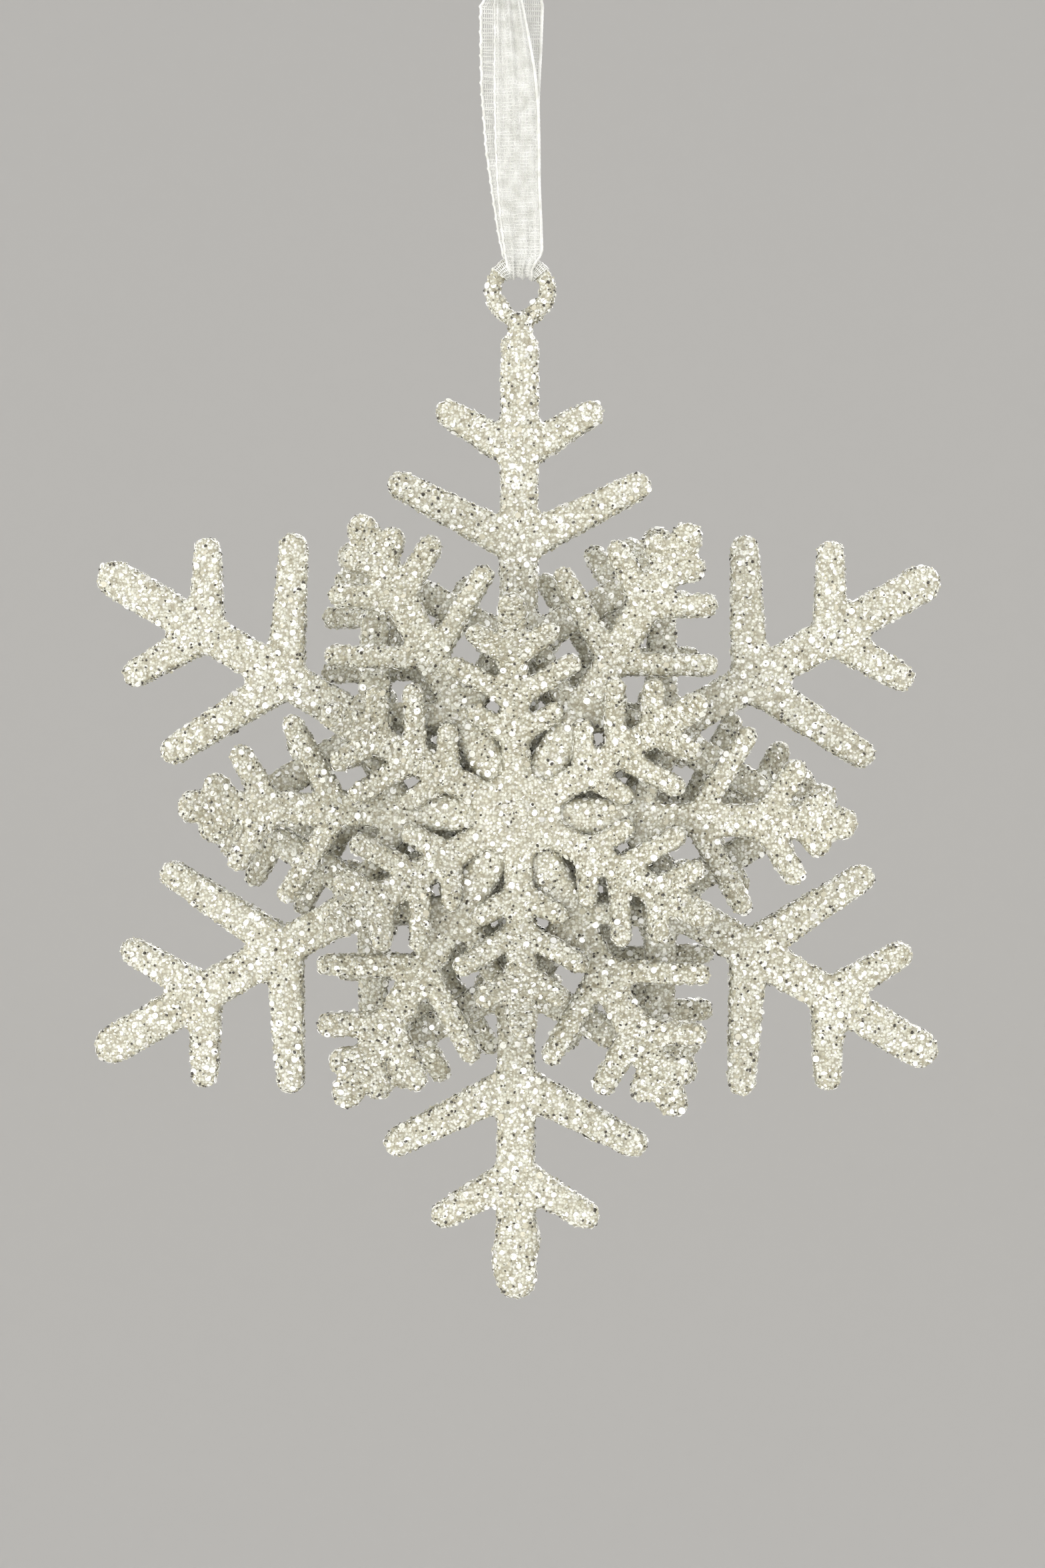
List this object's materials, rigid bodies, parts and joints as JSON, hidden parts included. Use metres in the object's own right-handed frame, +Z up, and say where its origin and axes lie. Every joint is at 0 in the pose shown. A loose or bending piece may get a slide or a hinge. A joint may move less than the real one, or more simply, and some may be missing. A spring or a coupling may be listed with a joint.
{
  "type": "hanging snowflake ornament",
  "caption": "Glitter-coated plastic snowflake of stacked flat and cupped six-armed stars, hung by a flat organza ribbon through a moulded eye.",
  "frame": {"origin": "top of the inside of the ribbon's loop, on the underside of the knot, where a hook or twig carries the ornament", "axes": "+Z up along the hanging ribbon, -Y towards the viewer of the front, +X to that viewer's right; the stars stand in the XZ plane"},
  "size_m": [0.0876, 0.0356, 0.1529],
  "materials": {
    "glitter": "clear plastic under a full coat of white and champagne glitter flakes in glue",
    "pin": "milky clear plastic with glitter on its ends",
    "organza": "sheer white organza with corded selvedges"
  },
  "bodies": {
    "hanger": {"ribbon_knot": "organza"},
    "ribbon": {"ribbon": "organza"},
    "star": {"main_star": "glitter", "front_medium_star": "glitter", "rear_medium_star": "glitter", "front_small_star": "glitter", "rear_small_star": "glitter", "centre_pin": "pin"}
  },
  "joints": [
    {"name": "ribbon_twist", "type": "hinge", "parent": "hanger", "child": "ribbon", "pos_m": [0, 0, 0], "axis": [0, 0, 1], "range_deg": [-90, 90], "stiffness_Nm_per_rad": 0.00002},
    {"name": "star_swing", "type": "hinge", "parent": "ribbon", "child": "star", "pos_m": [0, 0, -0.03074], "axis": [1, 0, 0], "range_deg": [-60, 60]}
  ]
}
